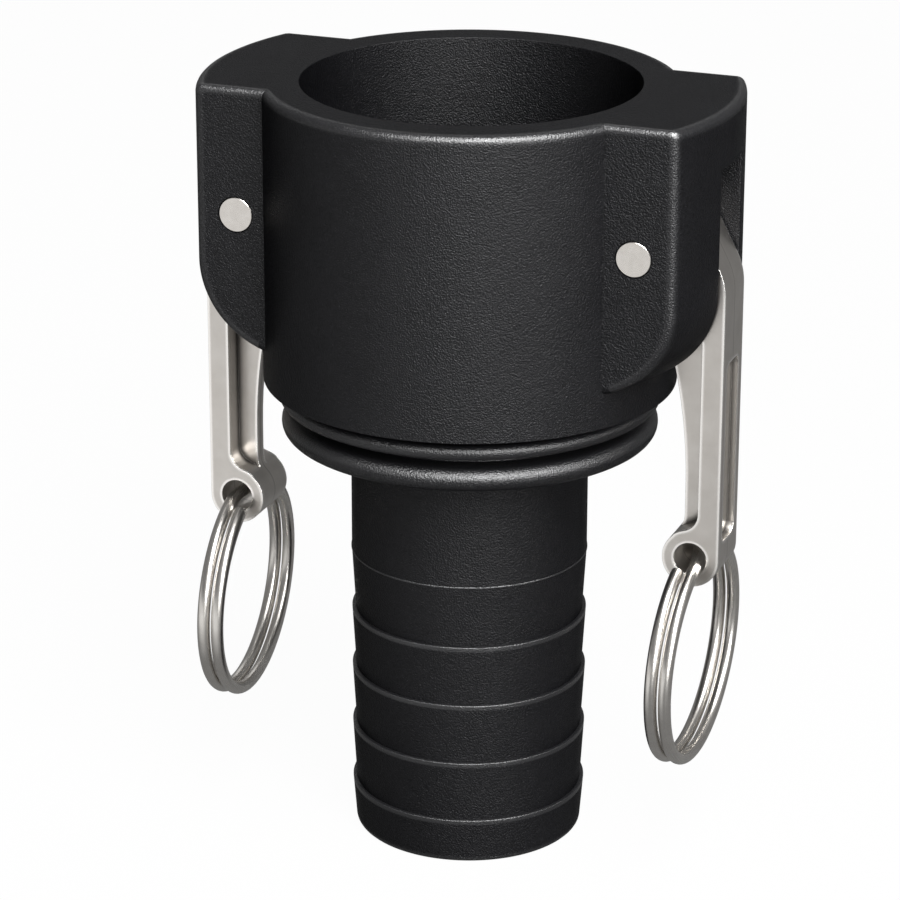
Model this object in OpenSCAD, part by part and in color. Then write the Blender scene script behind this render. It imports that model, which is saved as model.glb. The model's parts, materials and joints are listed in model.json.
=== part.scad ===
// Cam and groove coupling with a barbed hose shank.
// Millimetres. The origin is the middle of the shank's end, and Z runs up to the socket's rim.
// The two cam arms hang at -X and +X, closed.

/* [Shank] */
// Diameter of the shank and of the barbs' crests
shank_d = 38.8; // [36:0.1:42]
// Length of the shank, from its end to the flange
shank_l = 69.9; // [60:0.1:90]
// Number of barbs
barb_count = 4; // [2:1:5]
// Distance from one barb's crest to the next
barb_pitch = 10.3; // [8:0.1:12]
// Length of the shank's tip, below the lowest crest
tip_l = 7.8; // [6:0.1:10]
// Depth of the step under each crest
barb_step = 0.6; // [0.3:0.1:1]
// Height of the flat land on each crest
crest_land = 0.3; // [0.1:0.1:0.6]
// Rounding of the shank's end
tip_round = 0.8; // [0.3:0.1:1.2]
// Diameter of the passage through the shank
passage_d = 31.8; // [26:0.1:33]

/* [Flange and bead] */
// Diameter of the flange that stops the hose
flange_d = 60.6; // [54:0.1:64]
// Thickness of the flange
flange_t = 3.4; // [2.4:0.1:5]
// Width of the groove over the flange
groove_w = 1.8; // [1:0.1:3]
// Diameter of the neck in the groove
neck_d = 52; // [44:0.5:54]
// Diameter of the bead under the socket
bead_d = 62.2; // [57:0.1:65]
// Thickness of the bead
bead_t = 2.4; // [1.6:0.1:3]
// Gap between the bead and the socket's underside
bead_gap = 1.5; // [0.8:0.1:2.5]

/* [Socket] */
// Outer diameter of the socket
socket_od = 67.1; // [65:0.1:70]
// Height of the socket, from its underside to its rim
socket_h = 49; // [48:0.5:60]
// Diameter of the bore that the adapter seats in
socket_d = 53.7; // [52:0.1:54]
// How far the mouth's wall stands back from the bore's
mouth_step = 0.35; // [0.2:0.05:0.8]
// Depth of the mouth
mouth_depth = 16; // [13:0.5:17]
// Rounding of the rim's outer edge
rim_round = 1.3; // [0.5:0.1:2]
// Chamfer of the rim's inner edge
rim_chamfer = 0.4; // [0.2:0.1:0.8]
// Rounding of the socket's lower edge
foot_round = 0.3; // [0.1:0.1:0.8]

/* [Gasket] */
// How far the gasket reaches under the bore's wall
gasket_lap = 0.95; // [0.6:0.05:1.6]
// Diameter of the gasket's hole
gasket_hole_d = 41.3; // [36:0.1:44]
// Thickness of the gasket
gasket_t = 6.35; // [5:0.05:7]
// Rounding of the gasket's edges
gasket_round = 0.4; // [0.2:0.1:0.8]
// Thickness of the floor under the gasket
seat_floor_t = 6; // [4:0.5:7]

/* [Ears] */
// Distance from the pivot pins' axis to the ears' outer face
ear_cover = 10.4; // [8.6:0.1:11]
// Width of each ear, over both of its cheeks
ear_w = 36.1; // [33:0.1:40]
// Height of the ears, from the rim down
ear_h = 44.3; // [42:0.1:47]
// Radius of the ears' lower corner
ear_corner_r = 15.5; // [10:0.5:16]
// Rounding of the ears' upright edges
ear_round = 1.5; // [0.5:0.1:2]

/* [Cam arms] */
// Gap between the socket and a hanging arm
arm_clear = 0.85; // [0.4:0.05:1.6]
// Depth of the pivot pins below the rim
pin_drop = 20.75; // [19.5:0.05:22]
// Diameter of the pivot pins
pin_d = 5.6; // [4.6:0.1:6.2]
// Chamfer of the pins' ends
pin_chamfer = 0.35; // [0.1:0.05:0.6]
// Width of the arms, along their pins
arm_w = 10.2; // [8:0.1:12]
// Distance from the pin's axis to the arm's back
arm_back = 11.1; // [10.5:0.1:12]
// Distance from the pin's axis to the arm's inner edge, beside the socket
inner_x = 1.3; // [0.8:0.1:2]
// Thickness of the arm at its waist, from its back to its inner edge
waist_t = 6.9; // [6:0.1:8]
// Height of the waist over the finger eye
waist_rise = 11; // [9:0.5:14]
// Depth below the pin at which the arm's back is straight
back_drop = 9.25; // [8:0.25:12]
// How far a closed cam's nose stands into the bore
nose_bite = 2.75; // [2:0.05:3.2]
// Radius of the cam's nose
nose_r = 3; // [2.4:0.1:3.4]
// Radius of the arm's head, over the pin
head_r = 5.5; // [5:0.1:5.7]
// Depth of the finger eye below the pin
eye_drop = 53.25; // [48:0.25:60]
// Diameter of the finger eye
eye_d = 9.4; // [8.6:0.1:10.4]
// Thickness of the rib along the arm's back
rib_t = 3.6; // [2.6:0.1:4.5]
// Thickness of the web beside the rib
web_t = 2.5; // [1.5:0.1:4]
// Depth of the recesses' upper end below the pin
recess_drop = 14.25; // [12:0.25:18]
// Depth of the pocket's upper end below the pin
pocket_drop = 20.55; // [18:0.05:24]
// Length of the pocket in the arm's back
pocket_l = 30; // [20:0.5:34]
// Width of the pocket in the arm's back
pocket_w = 6.4; // [4:0.1:7.4]
// Depth of the pocket in the arm's back
pocket_depth = 1.1; // [0.5:0.1:1.6]

/* [Finger rings] */
// Diameter of the rings' wire
wire_d = 2.1; // [1.6:0.1:2.2]
// Diameter of the rings, measured at the wire's middle
ring_d = 35.2; // [30:0.2:38]
// How far both rings lean to -X from hanging along the arms, in degrees
ring_lean = 2.7; // [0:0.1:5]
// Turn of the left ring about the upright, in degrees
left_ring_turn = 3.5; // [0:0.5:5]
// Turn of the right ring about the upright, in degrees
right_ring_turn = -1; // [-3:0.5:0]

/* [Fits] */
// Gap between an arm and each wall of its slot
slot_gap = 0.3; // [0.2:0.05:0.6]
// Gap between the slot's roof and the arm's back, swung fully up
roof_gap = 0.65; // [0.5:0.05:1]
// Running gap between a pin and the arm's bore
pin_gap = 0.05; // [0.02:0.01:0.09]
// Gap between the two turns of a finger ring
wire_gap = 0.3; // [0.1:0.05:0.4]
// Play of the two turns in the eye's hole
eye_play = 0.95; // [0.85:0.05:1.3]
// Gap round the gasket in its seat
gasket_gap = 0.2; // [0.1:0.05:0.4]
// Gap over the gasket in its seat
gasket_play = 0.05; // [0.02:0.01:0.1]
// Depth of the countersink round each pin
pin_sink = 0.3; // [0.1:0.05:0.5]

/* [Hidden] */
$fn = 128;

plastic = [0.13, 0.13, 0.14];
rubber = [0.07, 0.07, 0.07];
steel = [0.72, 0.70, 0.68];
wire_steel = [0.78, 0.77, 0.75];

// Past a face, so that a cut leaves no skin
over = 1;

// Levels, from the shank's end up
groove_z = shank_l + flange_t;
bead_z = groove_z + groove_w;
socket_z = bead_z + bead_t + bead_gap;
rim_z = socket_z + socket_h;
gasket_z = socket_z + seat_floor_t;
seat_top_z = gasket_z + gasket_t + gasket_play;
mouth_z = rim_z - mouth_depth;
pin_z = rim_z - pin_drop;
eye_z = pin_z - eye_drop;

// The bore and what seats in it
mouth_d = socket_d + 2 * mouth_step;
gasket_od = socket_d + 2 * gasket_lap;

// The pins and the ears stand outwards from the socket, and the cams reach back into its bore
pin_x = socket_od / 2 + arm_clear - inner_x;
ear_r = pin_x + ear_cover;
cam_reach = pin_x - socket_d / 2 + nose_bite;

// The slot for each arm, round about the pin and open outwards and downwards
slot_w = arm_w + 2 * slot_gap;
slot_r = max(arm_back, cam_reach) + roof_gap;

// The arm's outline, measured from its pin: X away from the coupling and Y up
eye_x = arm_back - eye_d / 2;
nose_x = nose_r - cam_reach;
nose_y = -nose_r / 2;
nose_tilt = atan2(nose_y, nose_x) + 360;
nose_dist = norm([nose_x, nose_y]);
nose_start = nose_tilt - acos(min((head_r - nose_r) / nose_dist, 1));
under_r = 6;
back_turn = 27.5;
back_r = 11;
crown_r = 2.5;
waist_x = arm_back - waist_t;
waist_y = waist_rise - eye_drop;
waist_r = 90;
heel_r = 3.5;

// The recess in each side of the arm, between its back rib and the open inner edge
recess_r = 3;
eye_land = 0.15;
rib_x = arm_back - rib_t;
recess_depth = (arm_w - web_t) / 2;

pocket_r = 1.5;

// The wire of a finger ring crosses over inside the eye, and its two ends stop just outside it
wire_pitch = wire_d + wire_gap;
eye_hole_d = wire_d + wire_pitch + eye_play;
ring_drop = 0.2;
end_turn = 24;
cross_turn = 20;
wire_sides = 12;
wire_steps = 84;

function arc(centre, r, from, to, steps) =
    [for (i = [0:steps]) centre + r * [cos(from + (to - from) * i / steps), sin(from + (to - from) * i / steps)]];

// What rounding the outer corner at (r, z) takes away. up is -1 at a top edge and 1 at a bottom edge.
module corner_waste(r, z, radius, up) {
    translate([r - radius, z + up * radius]) difference() {
        translate([0, up > 0 ? -radius - over : 0]) square(radius + over);
        circle(radius);
    }
}

// A disc's half section with its outer edges rounded
module disc_section(r, low, high, top_round, bottom_round) {
    difference() {
        translate([0, low]) square([r, high - low]);
        corner_waste(r, high, top_round, -1);
        corner_waste(r, low, bottom_round, 1);
    }
}

// A disc's half section with a half-round rim
module half_round_section(d, thickness, low) {
    translate([0, low]) square([d / 2 - thickness / 2, thickness]);
    translate([d / 2 - thickness / 2, low + thickness / 2]) circle(d = thickness);
}

// The shank tapers down to each step, and each crest faces up
module shank_section() {
    crest_r = shank_d / 2;
    taper_z = tip_l + barb_count * barb_pitch;
    steps = [for (i = [barb_count - 1:-1:0], p = [
        [crest_r - barb_step, tip_l + i * barb_pitch],
        [crest_r, tip_l + i * barb_pitch],
        [crest_r, tip_l + i * barb_pitch - crest_land]
    ]) p];
    tip_r = crest_r - barb_step;
    difference() {
        polygon(concat([[0, shank_l + flange_t / 2], [crest_r, shank_l + flange_t / 2], [crest_r, taper_z]],
            steps, [[tip_r, 0], [0, 0]]));
        corner_waste(tip_r, 0, tip_round, 1);
    }
}

module body_section() {
    shank_section();
    half_round_section(flange_d, flange_t, shank_l);
    translate([0, shank_l]) square([neck_d / 2, socket_z - shank_l + over]);
    half_round_section(bead_d, bead_t, bead_z);
    disc_section(socket_od / 2, socket_z, rim_z, rim_round, foot_round);
}

// Everything the bore takes away, from the passage to the rim's chamfer
module bore_section() {
    step = (mouth_d - socket_d) / 2;
    translate([0, -over]) square([passage_d / 2, gasket_z + 2 * over]);
    translate([0, gasket_z]) square([gasket_od / 2 + gasket_gap, seat_top_z - gasket_z]);
    translate([0, gasket_z]) square([socket_d / 2, mouth_z - gasket_z]);
    polygon([
        [0, mouth_z - step], [socket_d / 2, mouth_z - step], [mouth_d / 2, mouth_z],
        [mouth_d / 2, rim_z - rim_chamfer], [mouth_d / 2 + rim_chamfer + over, rim_z + over], [0, rim_z + over]
    ]);
}

// The ears' outline from above, with its two upright edges rounded
module ear_plan() {
    side = ear_w / 2;
    edge_y = side - ear_round;
    edge_x = sqrt(pow(ear_r - ear_round, 2) - pow(edge_y, 2));
    reach = 3 * ear_round;
    difference() {
        translate([0, -side]) square([ear_r + over, ear_w]);
        for (way = [-1, 1]) scale([1, way]) translate([edge_x, edge_y]) difference() {
            polygon([[0, 0], [0, reach], [reach, reach], reach * [edge_x, edge_y] / (ear_r - ear_round)]);
            circle(ear_round);
        }
    }
}

// A pair of cheeks with the arm's slot between them, closed over the arm
module ear() {
    difference() {
        intersection() {
            rotate_extrude() disc_section(ear_r, rim_z - ear_h, rim_z, rim_round, ear_corner_r);
            translate([0, 0, rim_z - ear_h - over]) linear_extrude(ear_h + 2 * over) ear_plan();
            rotate([90, 0, 90]) linear_extrude(ear_r + over) for (way = [-1, 1]) scale([way, 1])
                disc_section(ear_w / 2, rim_z - ear_h - over, rim_z, rim_round, foot_round);
        }
        translate([0, -slot_w / 2, rim_z - ear_h - over])
            cube([ear_r + over, slot_w, pin_z + slot_r - (rim_z - ear_h - over)]);
    }
}

// The round pocket that the arm's head turns in, through the socket's wall
module head_pocket() {
    translate([pin_x, slot_w / 2, pin_z]) rotate([90, 0, 0]) linear_extrude(slot_w) {
        circle(slot_r);
        square([ear_r, slot_r]);
    }
}

// The hole for a pivot pin across both cheeks, countersunk at each face
module pin_hole() {
    translate([pin_x, 0, pin_z]) rotate([90, 0, 0]) {
        cylinder(h = ear_w + 2 * over, d = pin_d, center = true);
        for (way = [0, 1]) mirror([0, 0, way]) translate([0, 0, ear_w / 2 - pin_sink])
            cylinder(h = pin_sink + over, r1 = pin_d / 2, r2 = pin_d / 2 + pin_sink + over);
    }
}

// One moulding: socket, two ears, neck, flange and barbed shank
module coupler_body() {
    color(plastic) difference() {
        union() {
            rotate_extrude() body_section();
            for (turn = [0, 180]) rotate(turn) ear();
        }
        rotate_extrude() bore_section();
        for (turn = [0, 180]) rotate(turn) {
            head_pocket();
            pin_hole();
        }
    }
}

// A flat ring that the adapter is pressed against
module gasket() {
    width = (gasket_od - gasket_hole_d) / 2;
    color(rubber) rotate_extrude() translate([gasket_hole_d / 2, gasket_z]) difference() {
        square([width, gasket_t]);
        for (up = [-1, 1]) {
            corner_waste(width, up > 0 ? 0 : gasket_t, gasket_round, up);
            translate([width, 0]) mirror([1, 0]) corner_waste(width, up > 0 ? 0 : gasket_t, gasket_round, up);
        }
    }
}

// A plain pin, flush with the ears at both ends
module pivot_pin() {
    color(steel) translate([pin_x, 0, pin_z]) rotate([90, 0, 0]) {
        cylinder(h = ear_w - 2 * pin_chamfer, d = pin_d, center = true);
        for (way = [0, 1]) mirror([0, 0, way]) translate([0, 0, ear_w / 2 - pin_chamfer])
            cylinder(h = pin_chamfer, r1 = pin_d / 2, r2 = pin_d / 2 - pin_chamfer);
    }
}

// The arm's side outline: nose, head, back, finger eye and inner edge
module arm_outline() {
    back_end = [arm_back - back_r, -back_drop] + back_r * [cos(back_turn), sin(back_turn)];
    crown = back_end + (head_r - back_end[1]) / cos(back_turn) * [-sin(back_turn), cos(back_turn)];
    crown_in = crown_r * tan((90 - back_turn) / 2);
    under = [inner_x - under_r, nose_y - nose_r - under_r];
    heel_x = waist_x - heel_r;
    heel_y = -eye_drop + sqrt(pow(eye_d / 2 + heel_r, 2) - pow(eye_x - heel_x, 2));
    waist_turn = asin((sqrt(pow(waist_r, 2) - pow(waist_r - waist_x + inner_x, 2))) / waist_r);
    heel_turn = atan2(-eye_drop - heel_y, eye_x - heel_x);
    polygon(concat(
        arc([nose_x, nose_y], nose_r, 270, nose_start, 18),
        arc([0, 0], head_r, nose_start, 90, 6),
        arc([crown[0] - crown_in, head_r - crown_r], crown_r, 90, back_turn, 8),
        arc([arm_back - back_r, -back_drop], back_r, back_turn, 0, 6),
        arc([eye_x, -eye_drop], eye_d / 2, 0, heel_turn - 180, 36),
        arc([heel_x, heel_y], heel_r, heel_turn, 0, 8),
        arc([waist_x - waist_r, waist_y], waist_r, 0, waist_turn, 8),
        arc(under, under_r, 0, 90, 12)
    ));
}

// The recess is open at the arm's inner edge, and is filleted where it meets the rib, the head and the eye
module recess_outline() {
    corner = [rib_x - recess_r, -recess_drop - recess_r];
    wall_r = eye_d / 2 + eye_land;
    fillet = [corner[0], sqrt(pow(wall_r + recess_r, 2) - pow(eye_x - corner[0], 2)) - eye_drop];
    fillet_turn = atan2(-eye_drop - fillet[1], eye_x - fillet[0]);
    polygon(concat(
        arc(corner, recess_r, 90, 0, 8),
        arc(fillet, recess_r, 0, fillet_turn, 8),
        arc([eye_x, -eye_drop], wall_r, fillet_turn + 180, 180, 10),
        [[-arm_back, -eye_drop], [-arm_back, -recess_drop]]
    ));
}

module rounded_rectangle(length, width, radius) {
    square([length - 2 * radius, width], center = true);
    square([length, width - 2 * radius], center = true);
    for (x = [-1, 1], y = [-1, 1]) translate([x * (length / 2 - radius), y * (width / 2 - radius)]) circle(radius);
}

// A cast arm, drawn for the +X side with its pin at the origin
module cam_arm() {
    color(steel) difference() {
        translate([0, arm_w / 2, 0]) rotate([90, 0, 0]) linear_extrude(arm_w) difference() {
            arm_outline();
            circle(pin_d / 2 + pin_gap);
            translate([eye_x, -eye_drop]) circle(d = eye_hole_d);
        }
        for (way = [0, 1]) mirror([0, way, 0]) translate([0, arm_w / 2 + over, 0]) rotate([90, 0, 0])
            linear_extrude(recess_depth + over) recess_outline();
        translate([arm_back - pocket_depth, 0, -pocket_drop - pocket_l / 2]) rotate([90, 0, 90])
            linear_extrude(pocket_depth + over) rounded_rectangle(pocket_w, pocket_l, pocket_r);
    }
}

// The wire's middle and its radial direction after a share of its length.
// It starts in front of the eye in one turn, crosses over inside the eye and ends behind it in the other.
function wire_turn(share) = -end_turn - share * (720 - 2 * end_turn);
function crossing(turn) = min(max((turn + 360 + cross_turn) / (2 * cross_turn), 0), 1);
function wire_middle(turn) = let (c = crossing(turn), r = ring_d / 2) [
    wire_pitch * (c * c * (3 - 2 * c) - 0.5),
    r * sin(turn),
    r * cos(turn) - r - ring_drop
];
function wire_ring(turn) = [for (i = [0:wire_sides - 1]) let (a = 360 * i / wire_sides)
    wire_middle(turn) + wire_d / 2 * [sin(a), cos(a) * sin(turn), cos(a) * cos(turn)]];

// A split ring of two turns, drawn for the -X side with the eye's middle at the origin
module finger_ring(turn_about_z, lean) {
    points = [for (i = [0:wire_steps], p = wire_ring(wire_turn(i / wire_steps))) p];
    sides = [for (i = [0:wire_steps - 1], j = [0:wire_sides - 1]) let (k = (j + 1) % wire_sides) [
        i * wire_sides + j, i * wire_sides + k, (i + 1) * wire_sides + k, (i + 1) * wire_sides + j
    ]];
    first = [for (j = [wire_sides - 1:-1:0]) j];
    last = [for (j = [0:wire_sides - 1]) wire_steps * wire_sides + j];
    color(wire_steel) rotate([0, lean, 0]) rotate([0, 0, turn_about_z]) polyhedron(points, concat(sides, [first, last]));
}

module left_pin() { mirror([1, 0, 0]) pivot_pin(); }
module right_pin() { pivot_pin(); }
module left_cam_arm() { translate([-pin_x, 0, pin_z]) mirror([1, 0, 0]) cam_arm(); }
module right_cam_arm() { translate([pin_x, 0, pin_z]) cam_arm(); }
module left_finger_ring() { translate([-pin_x - eye_x, 0, eye_z]) finger_ring(left_ring_turn, ring_lean); }
module right_finger_ring() {
    translate([pin_x + eye_x, 0, eye_z]) mirror([1, 0, 0]) finger_ring(-right_ring_turn, -ring_lean);
}

coupler_body();
gasket();
left_pin();
right_pin();
left_cam_arm();
right_cam_arm();
left_finger_ring();
right_finger_ring();
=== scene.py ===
"""Cam and groove coupling with a barbed hose shank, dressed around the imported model, in metres."""
import json
import math

import bpy
from mathutils import Matrix, Vector

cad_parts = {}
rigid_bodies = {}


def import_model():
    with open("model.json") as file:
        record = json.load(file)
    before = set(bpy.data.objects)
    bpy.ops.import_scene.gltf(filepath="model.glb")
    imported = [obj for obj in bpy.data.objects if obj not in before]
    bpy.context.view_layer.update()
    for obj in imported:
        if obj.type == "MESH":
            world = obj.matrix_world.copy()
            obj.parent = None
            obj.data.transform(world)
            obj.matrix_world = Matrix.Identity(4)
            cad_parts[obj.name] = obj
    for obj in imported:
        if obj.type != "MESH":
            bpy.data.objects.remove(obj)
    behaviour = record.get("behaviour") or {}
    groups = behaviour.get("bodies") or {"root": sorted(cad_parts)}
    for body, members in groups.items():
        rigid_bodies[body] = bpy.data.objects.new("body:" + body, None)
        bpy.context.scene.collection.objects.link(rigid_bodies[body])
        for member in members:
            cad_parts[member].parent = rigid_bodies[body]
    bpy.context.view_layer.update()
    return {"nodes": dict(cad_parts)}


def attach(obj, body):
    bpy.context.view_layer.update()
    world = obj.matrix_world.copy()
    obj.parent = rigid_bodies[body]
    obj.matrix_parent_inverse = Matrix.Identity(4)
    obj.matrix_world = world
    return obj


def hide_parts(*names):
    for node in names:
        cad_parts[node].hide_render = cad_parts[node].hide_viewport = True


bpy.ops.object.select_all(action="SELECT")
bpy.ops.object.delete()
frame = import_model()
MM = 0.001
DEGREE = math.pi / 180

# Coupler body
# One injection moulding in black glass-filled polypropylene: socket, two ears, bead, flange and hose shank.
# The mould is spark eroded, so the skin has a fine even grain, and its parting edges are slightly round.
SOCKET_R = 33.55
SOCKET_Z = 79
RIM_Z = 128
RIM_ROUND = 1.2
BORE_R = 26.85
MOUTH_R = 27.2
MOUTH_Z = 112
SEAT_R = 28
SEAT_Z = 85
SEAT_TOP_Z = 91.4
PASSAGE_R = 15.9
PASSAGE_ROUND = 0.4
CREST_R = 19.4
BARB_STEP = 0.6
BARB_PITCH = 10.3
BARBS = 4
TIP_L = 7.8
CREST_LAND = 0.3
CREST_ROUND = 0.12
RIDGE = 0.1
TIP_ROUND = 0.8
FLANGE_R = 30.65
FLANGE_Z = 69.6
FLANGE_T = 3.7
NECK_R = 26
BEAD_R = 31.1
BEAD_Z = 75.1
BEAD_T = 2.4
CORNER_ROUND = 0.3
EDGE_ROUND = 0.15
EAR_R = 43.5
EAR_W = 36.1
EAR_H = 44.3
EAR_CORNER_R = 15.5
EAR_EDGE = 0.9
EAR_EDGE_STEPS = 5
EAR_ROOT_R = 30
EAR_ROWS = 24
SLOT_W = 10.8
SLOT_R = 11.75
SLOT_EDGE = 0.3
SLOT_EDGE_STEPS = 3
SLOT_STEPS = 96
PIN_X = 33.1
PIN_Z = 107.25
PIN_R = 2.8
PIN_GAP = 0.18
PIN_GAP_DEPTH = 0.5
PIN_STEPS = 64
# How finely round forms are drawn, how close points are welded or count as near, and two angles in degrees
TURN_STEPS = 192
FACET = 0.4
ARC_STEPS = 5
WELD = 0.005
NEAR = 0.01
SHARP = 50
SMOOTH = 35


def only(piece):
    """Selects this piece and no other, and makes it the active one."""
    bpy.ops.object.select_all(action="DESELECT")
    piece.select_set(True)
    bpy.context.view_layer.objects.active = piece


def rounded(corners):
    """The points of a closed outline in millimetres whose corners are (x, z) or (x, z, radius)."""
    points = []
    for i, corner in enumerate(corners):
        here = Vector(corner[:2])
        if len(corner) < 3:
            points.append(here)
            continue
        before = (Vector(corners[i - 1][:2]) - here).normalized()
        after = (Vector(corners[(i + 1) % len(corners)][:2]) - here).normalized()
        half = before.angle(after) / 2
        centre = here + (before + after).normalized() * corner[2] / math.sin(half)
        start = here + before * corner[2] / math.tan(half) - centre
        turn = start.angle_signed(here + after * corner[2] / math.tan(half) - centre)
        steps = max(ARC_STEPS, round(abs(turn) * corner[2] / FACET))
        for step in range(steps + 1):
            spoke = start.copy()
            spoke.rotate(Matrix.Rotation(-turn * step / steps, 2))
            points.append(centre + spoke)
    return points


def drawn(name, points, y=0):
    """A flat face through these points of the XZ plane, drawn point by point as extruded vertices."""
    places = [Vector((p[0], y, p[1])) * MM for p in points]
    bpy.ops.mesh.primitive_plane_add(size=MM, location=places[0])
    piece = bpy.context.object
    piece.name = name
    bpy.ops.object.transform_apply(location=True)
    bpy.ops.object.mode_set(mode="EDIT")
    bpy.ops.mesh.merge(type="CENTER")
    for here, there in zip(places, places[1:]):
        bpy.ops.mesh.extrude_region_move(TRANSFORM_OT_translate={"value": there - here})
    bpy.ops.mesh.select_all(action="SELECT")
    bpy.ops.mesh.edge_face_add()
    return piece


def turned(name, points):
    """A solid of revolution about Z, from its half section."""
    piece = drawn(name, points)
    bpy.ops.mesh.delete(type="ONLY_FACE")
    bpy.ops.mesh.select_all(action="SELECT")
    bpy.ops.mesh.spin(steps=TURN_STEPS, angle=2 * math.pi, center=(0, 0, 0), axis=(0, 0, 1),
                      use_auto_merge=True)
    bpy.ops.mesh.select_all(action="SELECT")
    bpy.ops.mesh.remove_doubles(threshold=WELD * MM)
    bpy.ops.mesh.normals_make_consistent(inside=False)
    bpy.ops.object.mode_set(mode="OBJECT")
    return piece


def rod(radius, length, place, steps):
    """A cylinder along Y, with its sizes and its middle in millimetres."""
    middle = [value * MM for value in place]
    bpy.ops.mesh.primitive_cylinder_add(vertices=steps, radius=radius * MM, depth=length * MM,
                                        location=middle, rotation=(math.pi / 2, 0, 0))
    return bpy.context.object


def modified(piece, kind, **settings):
    """Adds one modifier to a piece and applies it."""
    only(piece)
    modifier = piece.modifiers.new(kind.lower(), kind)
    for key, value in settings.items():
        setattr(modifier, key, value)
    bpy.ops.object.modifier_apply(modifier=modifier.name)


def cut(piece, tool, operation="DIFFERENCE"):
    """Cuts a tool out of a piece, or joins it on, and throws the tool away."""
    modified(piece, "BOOLEAN", object=tool, operation=operation, solver="MANIFOLD")
    bpy.data.objects.remove(tool)


def softened(piece, reach, steps, test):
    """Rounds a piece's sharp edges by a reach in millimetres, where the test holds at both ends."""
    only(piece)
    bpy.ops.object.mode_set(mode="EDIT")
    bpy.ops.mesh.select_all(action="DESELECT")
    bpy.ops.mesh.edges_select_sharp(sharpness=SHARP * DEGREE)
    bpy.ops.object.mode_set(mode="OBJECT")
    places = [vertex.co / MM for vertex in piece.data.vertices]
    for edge in piece.data.edges:
        edge.select = edge.select and all(test(places[v]) for v in edge.vertices)
    bpy.ops.object.mode_set(mode="EDIT")
    bpy.ops.mesh.bevel(offset=reach * MM, segments=steps, affect="EDGES", clamp_overlap=False)
    bpy.ops.object.mode_set(mode="OBJECT")


def smoothed(piece, angle=SMOOTH):
    """Shades curved faces smooth, and keeps flat faces flat right up to the rounding beside them."""
    only(piece)
    bpy.ops.object.shade_smooth_by_angle(angle=angle * DEGREE)
    modified(piece, "WEIGHTED_NORMAL", keep_sharp=True)


body_outline = [(PASSAGE_R, 0, PASSAGE_ROUND), (CREST_R - BARB_STEP, 0, TIP_ROUND)]
for barb in range(BARBS):
    crest_z = TIP_L + BARB_PITCH * barb
    body_outline += [
        (CREST_R, crest_z - CREST_LAND, CREST_ROUND), (CREST_R, crest_z, CREST_ROUND),
        (CREST_R - BARB_STEP, crest_z),
    ]
plain_z = TIP_L + BARBS * BARB_PITCH
body_outline += [
    (CREST_R, plain_z), (CREST_R + RIDGE, plain_z + RIDGE), (CREST_R + RIDGE, plain_z + 2 * RIDGE),
    (CREST_R, plain_z + 3 * RIDGE), (CREST_R, FLANGE_Z, CORNER_ROUND),
    (FLANGE_R, FLANGE_Z, FLANGE_T / 2), (FLANGE_R, FLANGE_Z + FLANGE_T, FLANGE_T / 2),
    (NECK_R, FLANGE_Z + FLANGE_T, CORNER_ROUND), (NECK_R, BEAD_Z, CORNER_ROUND),
    (BEAD_R, BEAD_Z, BEAD_T / 2), (BEAD_R, BEAD_Z + BEAD_T, BEAD_T / 2),
    (NECK_R, BEAD_Z + BEAD_T, CORNER_ROUND), (NECK_R, SOCKET_Z, CORNER_ROUND),
    (SOCKET_R, SOCKET_Z, EDGE_ROUND), (SOCKET_R, RIM_Z, RIM_ROUND),
    (MOUTH_R, RIM_Z, EDGE_ROUND), (MOUTH_R, MOUTH_Z), (BORE_R, MOUTH_Z - MOUTH_R + BORE_R),
    (BORE_R, SEAT_TOP_Z, EDGE_ROUND), (SEAT_R, SEAT_TOP_Z), (SEAT_R, SEAT_Z),
    (PASSAGE_R, SEAT_Z, PASSAGE_ROUND),
]
body = turned("body_moulding", rounded(body_outline))

# An ear is drawn flat, extruded in rows and bevelled, and its rows are then bent round the coupling's axis.
ear_outline = [point for point in rounded([
    (0, RIM_Z), (EAR_R, RIM_Z, RIM_ROUND), (EAR_R, RIM_Z - EAR_H, EAR_CORNER_R), (0, RIM_Z - EAR_H),
]) if point.x > EAR_ROOT_R + EAR_EDGE]
ear = drawn("ear", [(EAR_ROOT_R, RIM_Z), *ear_outline, (EAR_ROOT_R, ear_outline[-1].y)], -EAR_W / 2)
for row in range(EAR_ROWS):
    bpy.ops.mesh.extrude_region_move(TRANSFORM_OT_translate={"value": (0, EAR_W / EAR_ROWS * MM, 0)})
bpy.ops.mesh.select_all(action="SELECT")
bpy.ops.mesh.normals_make_consistent(inside=False)
bpy.ops.mesh.select_all(action="DESELECT")
bpy.ops.object.mode_set(mode="OBJECT")
for edge in ear.data.edges:
    edge.select = all(abs(ear.data.vertices[v].co.y) > (EAR_W / 2 - NEAR) * MM for v in edge.vertices)
bpy.ops.object.mode_set(mode="EDIT")
bpy.ops.mesh.bevel(offset=EAR_EDGE * MM, segments=EAR_EDGE_STEPS, affect="EDGES", clamp_overlap=False)
bpy.ops.object.mode_set(mode="OBJECT")
for vertex in ear.data.vertices:
    vertex.co.x = math.sqrt(vertex.co.x ** 2 - vertex.co.y ** 2)
slot_top = PIN_Z + SLOT_R
bpy.ops.mesh.primitive_cube_add(size=MM, location=(0, 0, slot_top * MM / 2),
                                scale=(3 * EAR_R, SLOT_W, slot_top))
cut(ear, bpy.context.object)
softened(ear, SLOT_EDGE, SLOT_EDGE_STEPS,
         lambda point: abs(abs(point.y) - SLOT_W / 2) < NEAR or abs(point.z - slot_top) < NEAR)
for side in (1, -1):
    only(ear)
    bpy.ops.object.duplicate()
    bpy.ops.transform.rotate(value=math.pi if side < 0 else 0, orient_axis="Z", center_override=(0, 0, 0))
    bpy.ops.object.transform_apply()
    cut(body, bpy.context.object, "UNION")
bpy.data.objects.remove(ear)

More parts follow.
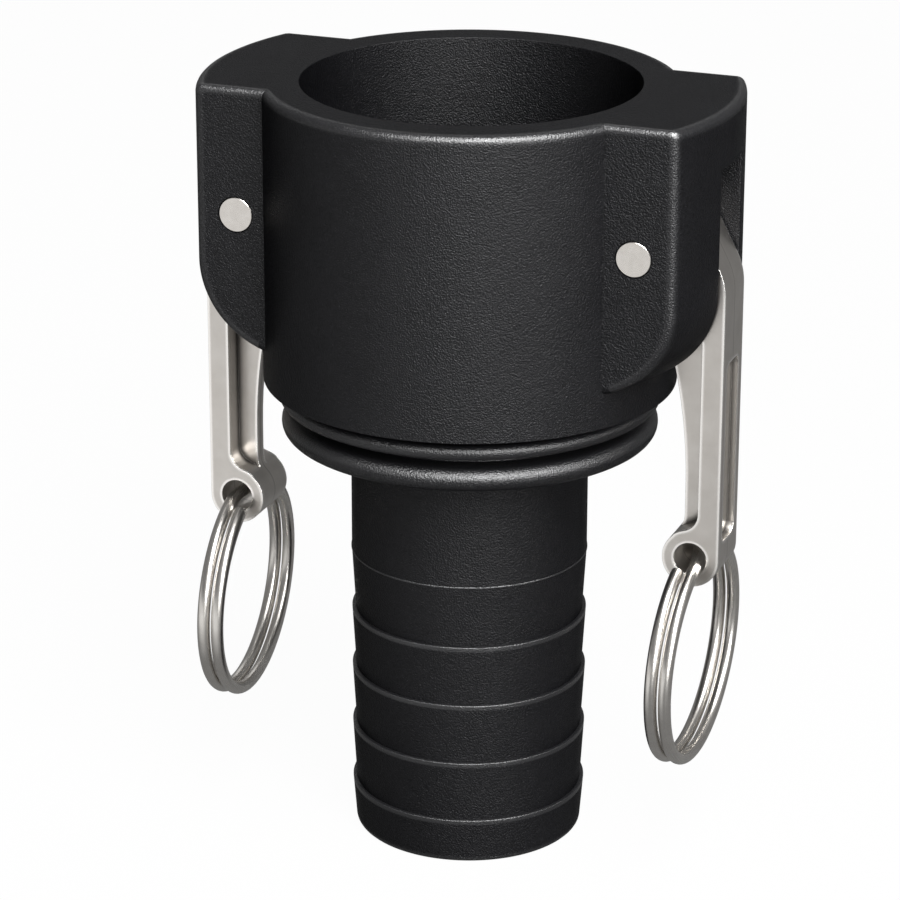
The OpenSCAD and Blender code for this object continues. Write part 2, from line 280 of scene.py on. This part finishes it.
# Behind each pin a round window lets the arm's cam nose through the socket's wall. The pin has a hole right
# through the ear, with a fine groove round each end.
for side in (1, -1):
    cut(body, rod(SLOT_R, SLOT_W, (side * PIN_X, 0, PIN_Z), SLOT_STEPS))
    cut(body, rod(PIN_R, 2 * EAR_W, (side * PIN_X, 0, PIN_Z), PIN_STEPS))
    for cheek in (1, -1):
        end = (side * PIN_X, cheek * EAR_W / 2, PIN_Z)
        cut(body, rod(PIN_R + PIN_GAP, 2 * PIN_GAP_DEPTH, end, PIN_STEPS))
smoothed(body)


def linear(code):
    """An sRGB hex colour as linear light, with full cover."""
    parts = [int(code[i:i + 2], 16) / 255 for i in (1, 3, 5)]
    return [((part + 0.055) / 1.055) ** 2.4 if part > 0.04045 else part / 12.92 for part in parts] + [1]


def add(tree, kind, inputs, **settings):
    """Adds one node. Each of its inputs is given as a value or as another node's output."""
    made = tree.nodes.new("ShaderNode" + kind)
    for key, value in settings.items():
        setattr(made, key, value)
    for key, value in inputs.items():
        if isinstance(value, bpy.types.NodeSocket):
            tree.links.new(value, made.inputs[key])
        else:
            made.inputs[key].default_value = value
    return made


def painted(name):
    """A new material with its node tree, its shader and its place on the object in metres."""
    material = bpy.data.materials.new(name)
    material.use_nodes = True
    tree = material.node_tree
    return material, tree, tree.nodes["Principled BSDF"], add(tree, "TexCoord", {}).outputs["Object"]


def finished(piece, material, body_name, cad_node):
    """Gives a piece its material and its place in the frame."""
    piece.data.materials.clear()
    piece.data.materials.append(material)
    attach(piece, body_name)
    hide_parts(cad_node)


# Moulded polypropylene with glass fibre: nearly black and half matt, with the grain of a spark eroded mould.
# The grain's own hollows swallow the sheen at a flat angle. Handling has polished the outer edges, and these
# and the upper sides of the flange and bead carry a painted highlight in a paler tone. The grain is drawn a
# little coarser than real, so that it shows.
GRAIN = 0.26
GRAIN_DEPTH = 0.22
NOISE_LOW = 0.3
NOISE_HIGH = 0.7
MOTTLE = 7
MOTTLE_SHARE = 0.3
SKIN_TONES = ("#020203", "#161618")
EDGE_TONE = "#1b1b1d"
GLOSS = 0.4
EDGE_GLOSS = 0.29
SHEEN_FRONT = 0.19
SHEEN_FLAT = 0.02
SHEEN_EDGE = 1
SHEEN_FLAT_FROM = 0.7
AO_SAMPLES = 12
EDGE_REACH = 0.9
EDGE_START = 0.985
EDGE_FULL = 0.95
EDGE_GRAIN = 0.5
BARE_R = 1.5 * PIN_R
BARE_END_R = 1.8 * PIN_R
RIM_FROM_R = MOUTH_R + 2
RIM_FROM_Z = RIM_Z - 2 * RIM_ROUND
CHEEK_FROM_R = SOCKET_R + 1
CHEEK_FROM_Y = EAR_W / 2 - 2 * EAR_EDGE
SHANK_WEAR_AND_HIGHLIGHT = 0.6
UPWARD_START = 0.1
UPWARD_FULL = 0.4
UPWARD_HIGHLIGHT = 0.55
plastic, tree, shader, place = painted("glass_filled_polypropylene")
grain = add(tree, "TexNoise", {"Vector": place, "Scale": 1 / (GRAIN * MM), "Detail": 2, "Roughness": 0.5})
grain = grain.outputs["Fac"]
mottle = add(tree, "TexNoise", {"Vector": place, "Scale": 1 / (MOTTLE * MM), "Detail": 2}).outputs["Fac"]

# Wear and the painted highlight start from the outer edges, without those round the pins.
depth = add(tree, "AmbientOcclusion", {"Distance": EDGE_REACH * MM},
            inside=True, only_local=True, samples=AO_SAMPLES).outputs["AO"]
wear_and_highlight = add(tree, "MapRange", {"Value": depth, "From Min": EDGE_START,
                              "From Max": EDGE_FULL}).outputs["Result"]
aside = add(tree, "VectorMath", {0: place}, operation="ABSOLUTE").outputs["Vector"]
flat = add(tree, "VectorMath", {0: aside, 1: (1, 0, 1)}, operation="MULTIPLY").outputs["Vector"]
pin_place = (PIN_X * MM, 0, PIN_Z * MM)
away = add(tree, "VectorMath", {0: flat, 1: pin_place}, operation="DISTANCE").outputs["Value"]
bare = add(tree, "MapRange", {"Value": away, "From Min": BARE_R * MM,
                              "From Max": BARE_END_R * MM}).outputs["Result"]
wear_and_highlight = add(tree, "Math", {0: wear_and_highlight, 1: bare}, operation="MULTIPLY").outputs[0]

# Of these it keeps the rim's, the cheeks' and, less so, the shank's, which hands and hoses rub and which
# carry the painted highlight.
height = add(tree, "SeparateXYZ", {0: place}).outputs["Z"]
spoke = add(tree, "VectorMath", {0: aside, 1: (1, 1, 0)}, operation="MULTIPLY").outputs["Vector"]
radius = add(tree, "VectorMath", {0: spoke}, operation="LENGTH").outputs["Value"]
width = add(tree, "SeparateXYZ", {0: aside}).outputs["Y"]
lower = add(tree, "Math", {0: height, 1: (BEAD_Z + BEAD_T) * MM}, operation="LESS_THAN").outputs[0]
top = add(tree, "Math", {0: height, 1: RIM_FROM_Z * MM}, operation="GREATER_THAN").outputs[0]
outside = add(tree, "Math", {0: radius, 1: RIM_FROM_R * MM}, operation="GREATER_THAN").outputs[0]
rim = add(tree, "Math", {0: top, 1: outside}, operation="MULTIPLY").outputs[0]
cheeks = add(tree, "Math", {0: width, 1: CHEEK_FROM_Y * MM}, operation="GREATER_THAN").outputs[0]
proud = add(tree, "Math", {0: radius, 1: CHEEK_FROM_R * MM}, operation="GREATER_THAN").outputs[0]
cheeks = add(tree, "Math", {0: cheeks, 1: proud}, operation="MULTIPLY").outputs[0]
rubbed_and_highlit = add(tree, "Math", {0: rim, 1: cheeks}, operation="MAXIMUM").outputs[0]
shank = add(tree, "Math", {0: lower, 1: SHANK_WEAR_AND_HIGHLIGHT}, operation="MULTIPLY").outputs[0]
rubbed_and_highlit = add(tree, "Math", {0: rubbed_and_highlit, 1: shank}, operation="MAXIMUM").outputs[0]
wear_and_highlight = add(tree, "Math", {0: wear_and_highlight, 1: rubbed_and_highlit}, operation="MULTIPLY").outputs[0]

# It adds a painted highlight, a paler and glossier tone, on the upper sides of the flange and the bead, as
# lit from above.
above = add(tree, "Math", {0: height, 1: FLANGE_Z * MM}, operation="GREATER_THAN").outputs[0]
bead_highlight = add(tree, "Math", {0: above, 1: lower}, operation="MULTIPLY").outputs[0]
upward = add(tree, "SeparateXYZ", {0: add(tree, "TexCoord", {}).outputs["Normal"]}).outputs["Z"]
upward = add(tree, "MapRange", {"Value": upward, "From Min": UPWARD_START, "From Max": UPWARD_FULL,
                                "To Max": UPWARD_HIGHLIGHT}).outputs["Result"]
bead_highlight = add(tree, "Math", {0: bead_highlight, 1: upward}, operation="MULTIPLY").outputs[0]
wear_and_highlight = add(tree, "Math", {0: wear_and_highlight, 1: bead_highlight}, operation="MAXIMUM").outputs[0]

# The grain's pits are the darkest. Worn places are glossier and smoother, and paler, partly from wear and
# partly as a painted highlight.
pits = add(tree, "MapRange", {"Value": grain, "From Min": NOISE_LOW,
                              "From Max": NOISE_HIGH}).outputs["Result"]
cover = add(tree, "Mix", {"Factor": MOTTLE_SHARE, "A": pits, "B": mottle}).outputs["Result"]
skin = add(tree, "Mix", {"Factor": cover, "A": linear(SKIN_TONES[0]), "B": linear(SKIN_TONES[1])},
           data_type="RGBA").outputs["Result"]
tone = add(tree, "Mix", {"Factor": wear_and_highlight, "A": skin, "B": linear(EDGE_TONE)}, data_type="RGBA")
gloss = add(tree, "MapRange", {"Value": wear_and_highlight, "To Min": GLOSS, "To Max": EDGE_GLOSS})
facing = add(tree, "LayerWeight", {}).outputs["Facing"]
sheen = add(tree, "MapRange", {"Value": facing, "From Max": SHEEN_FLAT_FROM, "To Min": SHEEN_FRONT,
                               "To Max": SHEEN_FLAT}).outputs["Result"]
level = add(tree, "Mix", {"Factor": wear_and_highlight, "A": sheen, "B": SHEEN_EDGE})
grain_left = add(tree, "MapRange", {"Value": wear_and_highlight, "To Min": 1, "To Max": EDGE_GRAIN}).outputs["Result"]
bump = add(tree, "Bump", {"Height": grain, "Distance": GRAIN_DEPTH * MM, "Strength": grain_left})
tree.links.new(tone.outputs["Result"], shader.inputs["Base Color"])
tree.links.new(gloss.outputs["Result"], shader.inputs["Roughness"])
tree.links.new(level.outputs["Result"], shader.inputs["Specular IOR Level"])
tree.links.new(bump.outputs["Normal"], shader.inputs["Normal"])
finished(body, plastic, "coupler", "coupler_body")

# Gasket
# A flat ring of moulded EPDM rubber that lies in its groove at the socket's floor, with softly rounded edges.
GASKET_R = 27.8
GASKET_HOLE_R = 20.65
GASKET_T = 6.35
GASKET_ROUND = 0.4
gasket = turned("gasket_ring", rounded([
    (GASKET_HOLE_R, SEAT_Z, GASKET_ROUND), (GASKET_R, SEAT_Z, GASKET_ROUND),
    (GASKET_R, SEAT_Z + GASKET_T, GASKET_ROUND), (GASKET_HOLE_R, SEAT_Z + GASKET_T, GASKET_ROUND),
]))
smoothed(gasket)

# EPDM rubber as it comes from the mould: black and matt, with a faint bloom.
RUBBER_GRAIN = 0.5
RUBBER_DEPTH = 0.01
RUBBER_TONES = ("#0e0e0e", "#1a1a19")
RUBBER_GLOSS = 0.62
rubber, tree, shader, place = painted("moulded_epdm_rubber")
bloom = add(tree, "TexNoise", {"Vector": place, "Scale": 1 / (RUBBER_GRAIN * MM), "Detail": 4}).outputs["Fac"]
tone = add(tree, "Mix", {"Factor": bloom, "A": linear(RUBBER_TONES[0]), "B": linear(RUBBER_TONES[1])},
           data_type="RGBA")
bump = add(tree, "Bump", {"Height": bloom, "Distance": RUBBER_DEPTH * MM, "Strength": 0.6})
tree.links.new(tone.outputs["Result"], shader.inputs["Base Color"])
tree.links.new(bump.outputs["Normal"], shader.inputs["Normal"])
shader.inputs["Roughness"].default_value = RUBBER_GLOSS
finished(gasket, rubber, "coupler", "gasket")

# Pivot pins
# Stainless bar, turned to size and faced, with a chamfer at each end, pressed in flush with the ears.
# Facing leaves the ends bright and a little hazy, with fine rings, which are drawn coarser than real to show.
SIDES = {"left": -1, "right": 1}
PIN_CHAMFER = 0.07
FACING_PITCH = 0.25
FACING_WOBBLE = 0.8
FACING_DEPTH = 0.0015
PIN_HAZE = 1.2
PIN_TONES = ("#c6c1bb", "#dedad5")
PIN_GLOSS = (0.25, 0.33)
pin_metal, tree, shader, place = painted("faced_stainless_steel")
aside = add(tree, "VectorMath", {0: place}, operation="ABSOLUTE").outputs["Vector"]
about = add(tree, "VectorMath", {0: aside, 1: pin_place}, operation="SUBTRACT").outputs["Vector"]
# The rings of a wave texture of scale 1 lie 2 pi / 20 metres apart.
marks = add(tree, "TexWave", {"Vector": about, "Scale": 2 * math.pi / (20 * FACING_PITCH * MM),
                              "Distortion": FACING_WOBBLE},
            wave_type="RINGS", rings_direction="Y").outputs["Fac"]
haze = add(tree, "TexNoise", {"Vector": place, "Scale": 1 / (PIN_HAZE * MM), "Detail": 3}).outputs["Fac"]
tone = add(tree, "Mix", {"Factor": haze, "A": linear(PIN_TONES[0]), "B": linear(PIN_TONES[1])},
           data_type="RGBA")
gloss = add(tree, "MapRange", {"Value": marks, "To Min": PIN_GLOSS[0], "To Max": PIN_GLOSS[1]})
bump = add(tree, "Bump", {"Height": marks, "Distance": FACING_DEPTH * MM, "Strength": 1})
tree.links.new(tone.outputs["Result"], shader.inputs["Base Color"])
tree.links.new(gloss.outputs["Result"], shader.inputs["Roughness"])
tree.links.new(bump.outputs["Normal"], shader.inputs["Normal"])
shader.inputs["Metallic"].default_value = 1
for name, side in SIDES.items():
    pin = rod(PIN_R, EAR_W, (side * PIN_X, 0, PIN_Z), PIN_STEPS)
    pin.name = name + "_pivot"
    bpy.ops.object.transform_apply()
    modified(pin, "BEVEL", width=PIN_CHAMFER * MM, segments=1, limit_method="ANGLE",
             angle_limit=SHARP * DEGREE)
    smoothed(pin)
    finished(pin, pin_metal, "coupler", name + "_pin")

# Cam arms
# Investment castings in stainless steel: nose, web, back rib and finger eye in one. Tumbling has brightened
# the outer edges, which also carry a painted highlight. The recesses are painted darker as shade
# and are rougher, and a faint parting line runs round each arm's middle.
CAST_EDGE = 0.25
CAST_EDGE_STEPS = 3
CAST_EDGE_ANGLE = 40
CAD_WELD = 0.001
CAD_FLAT = 0.5


def copied(cad_node, name):
    """A copy of a CAD node with its triangles merged and its flat faces made whole."""
    only(frame["nodes"][cad_node])
    bpy.ops.object.duplicate()
    piece = bpy.context.object
    piece.name = name
    piece.parent = None
    for key in list(piece.keys()):
        del piece[key]
    bpy.ops.object.mode_set(mode="EDIT")
    bpy.ops.mesh.select_all(action="SELECT")
    bpy.ops.mesh.remove_doubles(threshold=CAD_WELD * MM)
    bpy.ops.mesh.dissolve_limited(angle_limit=CAD_FLAT * DEGREE)
    bpy.ops.object.mode_set(mode="OBJECT")
    return piece


# Cast stainless steel, tumbled: a satin metal with a fine sandy skin and faint clouds.
CAST_GRAIN = 0.45
CAST_DEPTH = 0.015
CAST_MOTTLE = 3.5
CAST_TONES = ("#bcb7b1", "#d3cfca")
CAST_GLOSS = (0.26, 0.38)
TUMBLED_HIGHLIGHT_REACH = 0.6
TUMBLED_HIGHLIGHT_START = 0.96
TUMBLED_HIGHLIGHT_FULL = 0.8
TUMBLED_HIGHLIGHT_TONE = "#f4f1ed"
TUMBLED_GLOSS = 0.24
HOLLOW_REACH = 1.5
HOLLOW_START = 0.9
HOLLOW_FULL = 0.55
HOLLOW_SHADE_TONE = "#4a4744"
HOLLOW_GLOSS = 0.6
PARTING_W = 0.14
PARTING_SHARE = 0.4
cast, tree, shader, place = painted("satin_cast_stainless_steel")
skin = add(tree, "TexNoise", {"Vector": place, "Scale": 1 / (CAST_GRAIN * MM), "Detail": 4, "Roughness": 0.6})
skin = skin.outputs["Fac"]
cloud = add(tree, "TexNoise", {"Vector": place, "Scale": 1 / (CAST_MOTTLE * MM), "Detail": 3}).outputs["Fac"]
# The outer edges: a pale, glossy tone, partly from tumbling and partly a painted highlight.
depth = add(tree, "AmbientOcclusion", {"Distance": TUMBLED_HIGHLIGHT_REACH * MM},
            inside=True, only_local=True, samples=AO_SAMPLES).outputs["AO"]
tumbled_highlight = add(tree, "MapRange", {"Value": depth, "From Min": TUMBLED_HIGHLIGHT_START,
                                 "From Max": TUMBLED_HIGHLIGHT_FULL}).outputs["Result"]
# The recesses: a darker tone where ambient occlusion finds them, a painted shade, joined by the parting line.
hollow = add(tree, "AmbientOcclusion", {"Distance": HOLLOW_REACH * MM},
             only_local=True, samples=AO_SAMPLES).outputs["AO"]
shade_and_parting = add(tree, "MapRange", {"Value": hollow, "From Min": HOLLOW_START,
                              "From Max": HOLLOW_FULL}).outputs["Result"]
across = add(tree, "SeparateXYZ", {0: place}).outputs["Y"]
across = add(tree, "Math", {0: across}, operation="ABSOLUTE").outputs[0]
parting = add(tree, "MapRange", {"Value": across, "From Min": PARTING_W * MM, "From Max": PARTING_W / 2 * MM,
                                 "To Max": PARTING_SHARE}).outputs["Result"]
shade_and_parting = add(tree, "Math", {0: shade_and_parting, 1: parting}, operation="MAXIMUM").outputs[0]
tone = add(tree, "Mix", {"Factor": cloud, "A": linear(CAST_TONES[0]), "B": linear(CAST_TONES[1])},
           data_type="RGBA").outputs["Result"]
tone = add(tree, "Mix", {"Factor": shade_and_parting, "A": tone, "B": linear(HOLLOW_SHADE_TONE)},
           data_type="RGBA").outputs["Result"]
tone = add(tree, "Mix", {"Factor": tumbled_highlight, "A": tone, "B": linear(TUMBLED_HIGHLIGHT_TONE)}, data_type="RGBA")
gloss = add(tree, "MapRange", {"Value": skin, "To Min": CAST_GLOSS[0],
                               "To Max": CAST_GLOSS[1]}).outputs["Result"]
gloss = add(tree, "Mix", {"Factor": shade_and_parting, "A": gloss, "B": HOLLOW_GLOSS}).outputs["Result"]
gloss = add(tree, "Mix", {"Factor": tumbled_highlight, "A": gloss, "B": TUMBLED_GLOSS})
bump = add(tree, "Bump", {"Height": skin, "Distance": CAST_DEPTH * MM, "Strength": 0.7})
tree.links.new(tone.outputs["Result"], shader.inputs["Base Color"])
tree.links.new(gloss.outputs["Result"], shader.inputs["Roughness"])
tree.links.new(bump.outputs["Normal"], shader.inputs["Normal"])
shader.inputs["Metallic"].default_value = 1
for name in SIDES:
    arm = copied(name + "_cam_arm", name + "_arm_casting")
    modified(arm, "BEVEL", width=CAST_EDGE * MM, segments=CAST_EDGE_STEPS, limit_method="ANGLE",
             angle_limit=CAST_EDGE_ANGLE * DEGREE)
    smoothed(arm)
    finished(arm, cast, name + "_arm", name + "_cam_arm")

# Finger rings
# Split rings of two turns of polished stainless wire, which crosses over inside the arm's eye. It is bright,
# and the fine lines that the drawing die leaves along it are drawn coarser than real, so that they show.
WIRE_R = 1.05
WIRE_PITCH = 2.4
WIRE_STEPS = 240
WIRE_ROUND_STEPS = 10
WIRE_WELD = 0.001
WIRE_SMOOTH = 40
RING_R = 17.75
RING_DROP = 0.2
RING_LEANS = {"left": 2.4, "right": 2.1}
RING_TURNS = {"left": 3.5, "right": -1}
END_TURN = 24
CROSS_TURN = 20
EYE_X = 39.5
EYE_Z = 54
DIE_LINE = 0.15
DIE_DEPTH = 0.004
WIRE_HAZE = 2
WIRE_TONES = ("#c9c5c0", "#e2dfda")
WIRE_GLOSS = (0.24, 0.34)
ring_metal, tree, shader, place = painted("polished_stainless_wire")
ring_centre = (0, 0, (EYE_Z - RING_DROP - RING_R) * MM)
spoke = add(tree, "VectorMath", {0: place, 1: ring_centre}, operation="SUBTRACT").outputs["Vector"]
spoke = add(tree, "VectorMath", {0: spoke, 1: (0, 1, 1)}, operation="MULTIPLY").outputs["Vector"]
spoke = add(tree, "VectorMath", {0: spoke}, operation="LENGTH").outputs["Value"]
breadth = add(tree, "SeparateXYZ", {0: place}).outputs["X"]
section = add(tree, "CombineXYZ", {"X": breadth, "Y": spoke}).outputs["Vector"]
lines = add(tree, "TexNoise", {"Vector": section, "Scale": 1 / (DIE_LINE * MM), "Detail": 3}).outputs["Fac"]
haze = add(tree, "TexNoise", {"Vector": place, "Scale": 1 / (WIRE_HAZE * MM), "Detail": 3}).outputs["Fac"]
tone = add(tree, "Mix", {"Factor": haze, "A": linear(WIRE_TONES[0]), "B": linear(WIRE_TONES[1])},
           data_type="RGBA")
gloss = add(tree, "MapRange", {"Value": lines, "From Min": NOISE_LOW, "From Max": NOISE_HIGH,
                               "To Min": WIRE_GLOSS[0], "To Max": WIRE_GLOSS[1]})
bump = add(tree, "Bump", {"Height": lines, "Distance": DIE_DEPTH * MM, "Strength": 0.6})
tree.links.new(tone.outputs["Result"], shader.inputs["Base Color"])
tree.links.new(gloss.outputs["Result"], shader.inputs["Roughness"])
tree.links.new(bump.outputs["Normal"], shader.inputs["Normal"])
shader.inputs["Metallic"].default_value = 1
for name, side in SIDES.items():
    wire = bpy.data.curves.new(name + "_split_ring", "CURVE")
    wire.dimensions = "3D"
    wire.bevel_depth = WIRE_R * MM
    wire.bevel_resolution = WIRE_ROUND_STEPS
    wire.use_fill_caps = True
    spline = wire.splines.new("POLY")
    spline.points.add(WIRE_STEPS)
    placed = Matrix.Translation((side * EYE_X * MM, 0, EYE_Z * MM))
    placed = placed @ Matrix.Rotation(RING_LEANS[name] * DEGREE, 4, "Y")
    placed = placed @ Matrix.Rotation(RING_TURNS[name] * DEGREE, 4, "Z") @ Matrix.Scale(MM, 4)
    # The wire runs twice round, from end to end, and changes over between its two turns halfway.
    for step, point in enumerate(spline.points):
        turn = -END_TURN - (720 - 2 * END_TURN) * step / WIRE_STEPS
        share = min(max((turn + 360 + CROSS_TURN) / (2 * CROSS_TURN), 0), 1)
        offset = WIRE_PITCH * (share * share * (3 - 2 * share) - 0.5)
        along = RING_R * math.cos(turn * DEGREE) - RING_R - RING_DROP
        middle = placed @ Vector((-side * offset, RING_R * math.sin(turn * DEGREE), along))
        point.co = (*middle, 1)
    ring = bpy.data.objects.new(name + "_split_ring", wire)
    bpy.context.collection.objects.link(ring)
    only(ring)
    bpy.ops.object.convert(target="MESH")
    ring = bpy.context.object
    bpy.ops.object.mode_set(mode="EDIT")
    bpy.ops.mesh.select_all(action="SELECT")
    bpy.ops.mesh.remove_doubles(threshold=WIRE_WELD * MM)
    bpy.ops.mesh.normals_make_consistent(inside=False)
    bpy.ops.object.mode_set(mode="OBJECT")
    smoothed(ring, WIRE_SMOOTH)
    finished(ring, ring_metal, name + "_ring", name + "_finger_ring")

# Floor and studio
# A wide pale floor and a pale surround, which the camera sees nearly white and which light the coupling
# only weakly, so that it is the softboxes that shape it. In reflections both are dim, and the floor turns
# bright towards the front left.
scene = bpy.context.scene
scene.view_settings.view_transform = "Standard"
FLOOR_SIZE = 6
GLOW_SHARE = 0.97
FLOOR_TONE = "#c4c4c4"
FLOOR_GLOSS = 0.9
BRIGHT_X = (40, -10)
BRIGHT_Y = (-30, -90)
DIM = 0.22
AMBIENT = 0.1
WHITE = "#ffffff"
bpy.ops.mesh.primitive_plane_add(size=FLOOR_SIZE)
floor = bpy.context.object
floor.name = "floor"
paper, tree, shader, place = painted("white_paper_sweep")
shader.inputs["Base Color"].default_value = linear(FLOOR_TONE)
shader.inputs["Roughness"].default_value = FLOOR_GLOSS
rays = add(tree, "LightPath", {}).outputs
seen = add(tree, "Math", {0: rays["Is Camera Ray"], 1: rays["Is Glossy Ray"]}, operation="MAXIMUM").outputs[0]
seen = add(tree, "Math", {0: seen, 1: rays["Is Transmission Ray"]}, operation="MAXIMUM").outputs[0]
share = add(tree, "Math", {0: seen, 1: GLOW_SHARE}, operation="MULTIPLY").outputs[0]
spot = add(tree, "SeparateXYZ", {0: place}).outputs
lit = add(tree, "MapRange", {"Value": spot["X"], "From Min": BRIGHT_X[0] * MM,
                             "From Max": BRIGHT_X[1] * MM}).outputs["Result"]
near = add(tree, "MapRange", {"Value": spot["Y"], "From Min": BRIGHT_Y[0] * MM,
                              "From Max": BRIGHT_Y[1] * MM}).outputs["Result"]
lit = add(tree, "Math", {0: lit, 1: near}, operation="MULTIPLY").outputs[0]
mirrored = add(tree, "MapRange", {"Value": lit, "To Min": DIM}).outputs["Result"]
strength = add(tree, "Mix", {"Factor": rays["Is Glossy Ray"], "A": 1.0, "B": mirrored}).outputs["Result"]
glow = add(tree, "Emission", {"Color": linear(WHITE), "Strength": strength})
sheet = add(tree, "MixShader", {0: share, 1: shader.outputs[0], 2: glow.outputs[0]})
tree.links.new(sheet.outputs[0], tree.nodes["Material Output"].inputs["Surface"])
floor.data.materials.append(paper)

world = bpy.data.worlds.new("studio")
scene.world = world
world.use_nodes = True
tree = world.node_tree
rays = add(tree, "LightPath", {}).outputs
seen = add(tree, "Math", {0: rays["Is Camera Ray"], 1: rays["Is Transmission Ray"]}, operation="MAXIMUM")
mirrored = add(tree, "MapRange", {"Value": rays["Is Glossy Ray"], "To Min": AMBIENT, "To Max": DIM})
strength = add(tree, "Mix", {"Factor": seen.outputs[0], "A": mirrored.outputs["Result"], "B": 1.0})
tree.links.new(strength.outputs["Result"], tree.nodes["Background"].inputs["Strength"])
tree.nodes["Background"].inputs["Color"].default_value = linear(WHITE)

# A grey card behind the coupling, which only reflections see: it keeps the left arm's inner faces dark.
CARD_W = 0.12
CARD_H = 0.14
CARD_Y = 0.1
CARD_WEAVE = 2
CARD_TONES = ("#525252", "#626262")
bpy.ops.mesh.primitive_plane_add(size=1, location=(0, CARD_Y, CARD_H / 2), rotation=(math.pi / 2, 0, 0))
card = bpy.context.object
card.name = "card"
card.scale = (CARD_W, CARD_H, 1)
card.visible_camera = False
card.visible_diffuse = False
card.visible_shadow = False
cloth, tree, shader, place = painted("grey_cloth")
weave = add(tree, "TexNoise", {"Vector": place, "Scale": 1 / (CARD_WEAVE * MM)}).outputs["Fac"]
tone = add(tree, "Mix", {"Factor": weave, "A": linear(CARD_TONES[0]), "B": linear(CARD_TONES[1])},
           data_type="RGBA")
tree.links.new(tone.outputs["Result"], shader.inputs["Base Color"])
shader.inputs["Roughness"].default_value = 1
card.data.materials.append(cloth)

# Softboxes: azimuth and elevation in degrees, then distance, width and height in metres, and power in watts.
# The gleam only gives the plastic its highlights, so colours render about as they are written.
SOFTBOXES = {
    "key": (40, 52, 0.9, 0.45, 0.7, 15),
    "gleam": (32, 48, 0.9, 1.4, 0.7, 32),
    "front": (44, 11, 0.75, 0.3, 0.4, 5),
    "overhead": (20, 85, 0.9, 0.6, 0.6, 0.8),
    "back": (200, 28, 0.9, 0.6, 0.5, 0.6),
}
AIM_Z = 0.08
moulded = bpy.data.collections.new("moulded")
moulded.objects.link(body)
for name, (azimuth, elevation, distance, box_w, box_h, power) in SOFTBOXES.items():
    lamp = bpy.data.lights.new(name, "AREA")
    lamp.shape = "RECTANGLE"
    lamp.size = box_w
    lamp.size_y = box_h
    lamp.energy = power
    holder = bpy.data.objects.new(name, lamp)
    bpy.context.collection.objects.link(holder)
    aim = Vector((math.sin(azimuth * DEGREE) * math.cos(elevation * DEGREE),
                  -math.cos(azimuth * DEGREE) * math.cos(elevation * DEGREE), math.sin(elevation * DEGREE)))
    holder.location = Vector((0, 0, AIM_Z)) + aim * distance
    holder.rotation_euler = aim.to_track_quat("Z", "Y").to_euler()
    holder.visible_camera = False
    if name == "gleam":
        holder.visible_diffuse = False
        holder.light_linking.receiver_collection = moulded

# Camera
# The place and lens were fitted to the photograph's outlines.
CAMERA_AT = (198.36, -538.07, 279.52)
CAMERA_BACK = (0.32904, -0.87727, 0.34951)
CAMERA_ROLL = 0.128
SENSOR_MM = 36
LENS_MM = 149.58
CAMERA_FAR = 20
back = Vector(CAMERA_BACK).normalized()
sideways = Vector((-back.y, back.x, 0)).normalized()
upright = back.cross(sideways)
roll = CAMERA_ROLL * DEGREE
right = sideways * math.cos(roll) + upright * math.sin(roll)
up = back.cross(right)
bpy.ops.object.camera_add()
camera = bpy.context.object
camera.data.lens = LENS_MM
camera.data.sensor_width = SENSOR_MM
camera.data.clip_end = CAMERA_FAR
axes = Matrix((right, up, back)).transposed().to_4x4()
camera.matrix_world = Matrix.Translation(Vector(CAMERA_AT) * MM) @ axes
scene.camera = camera
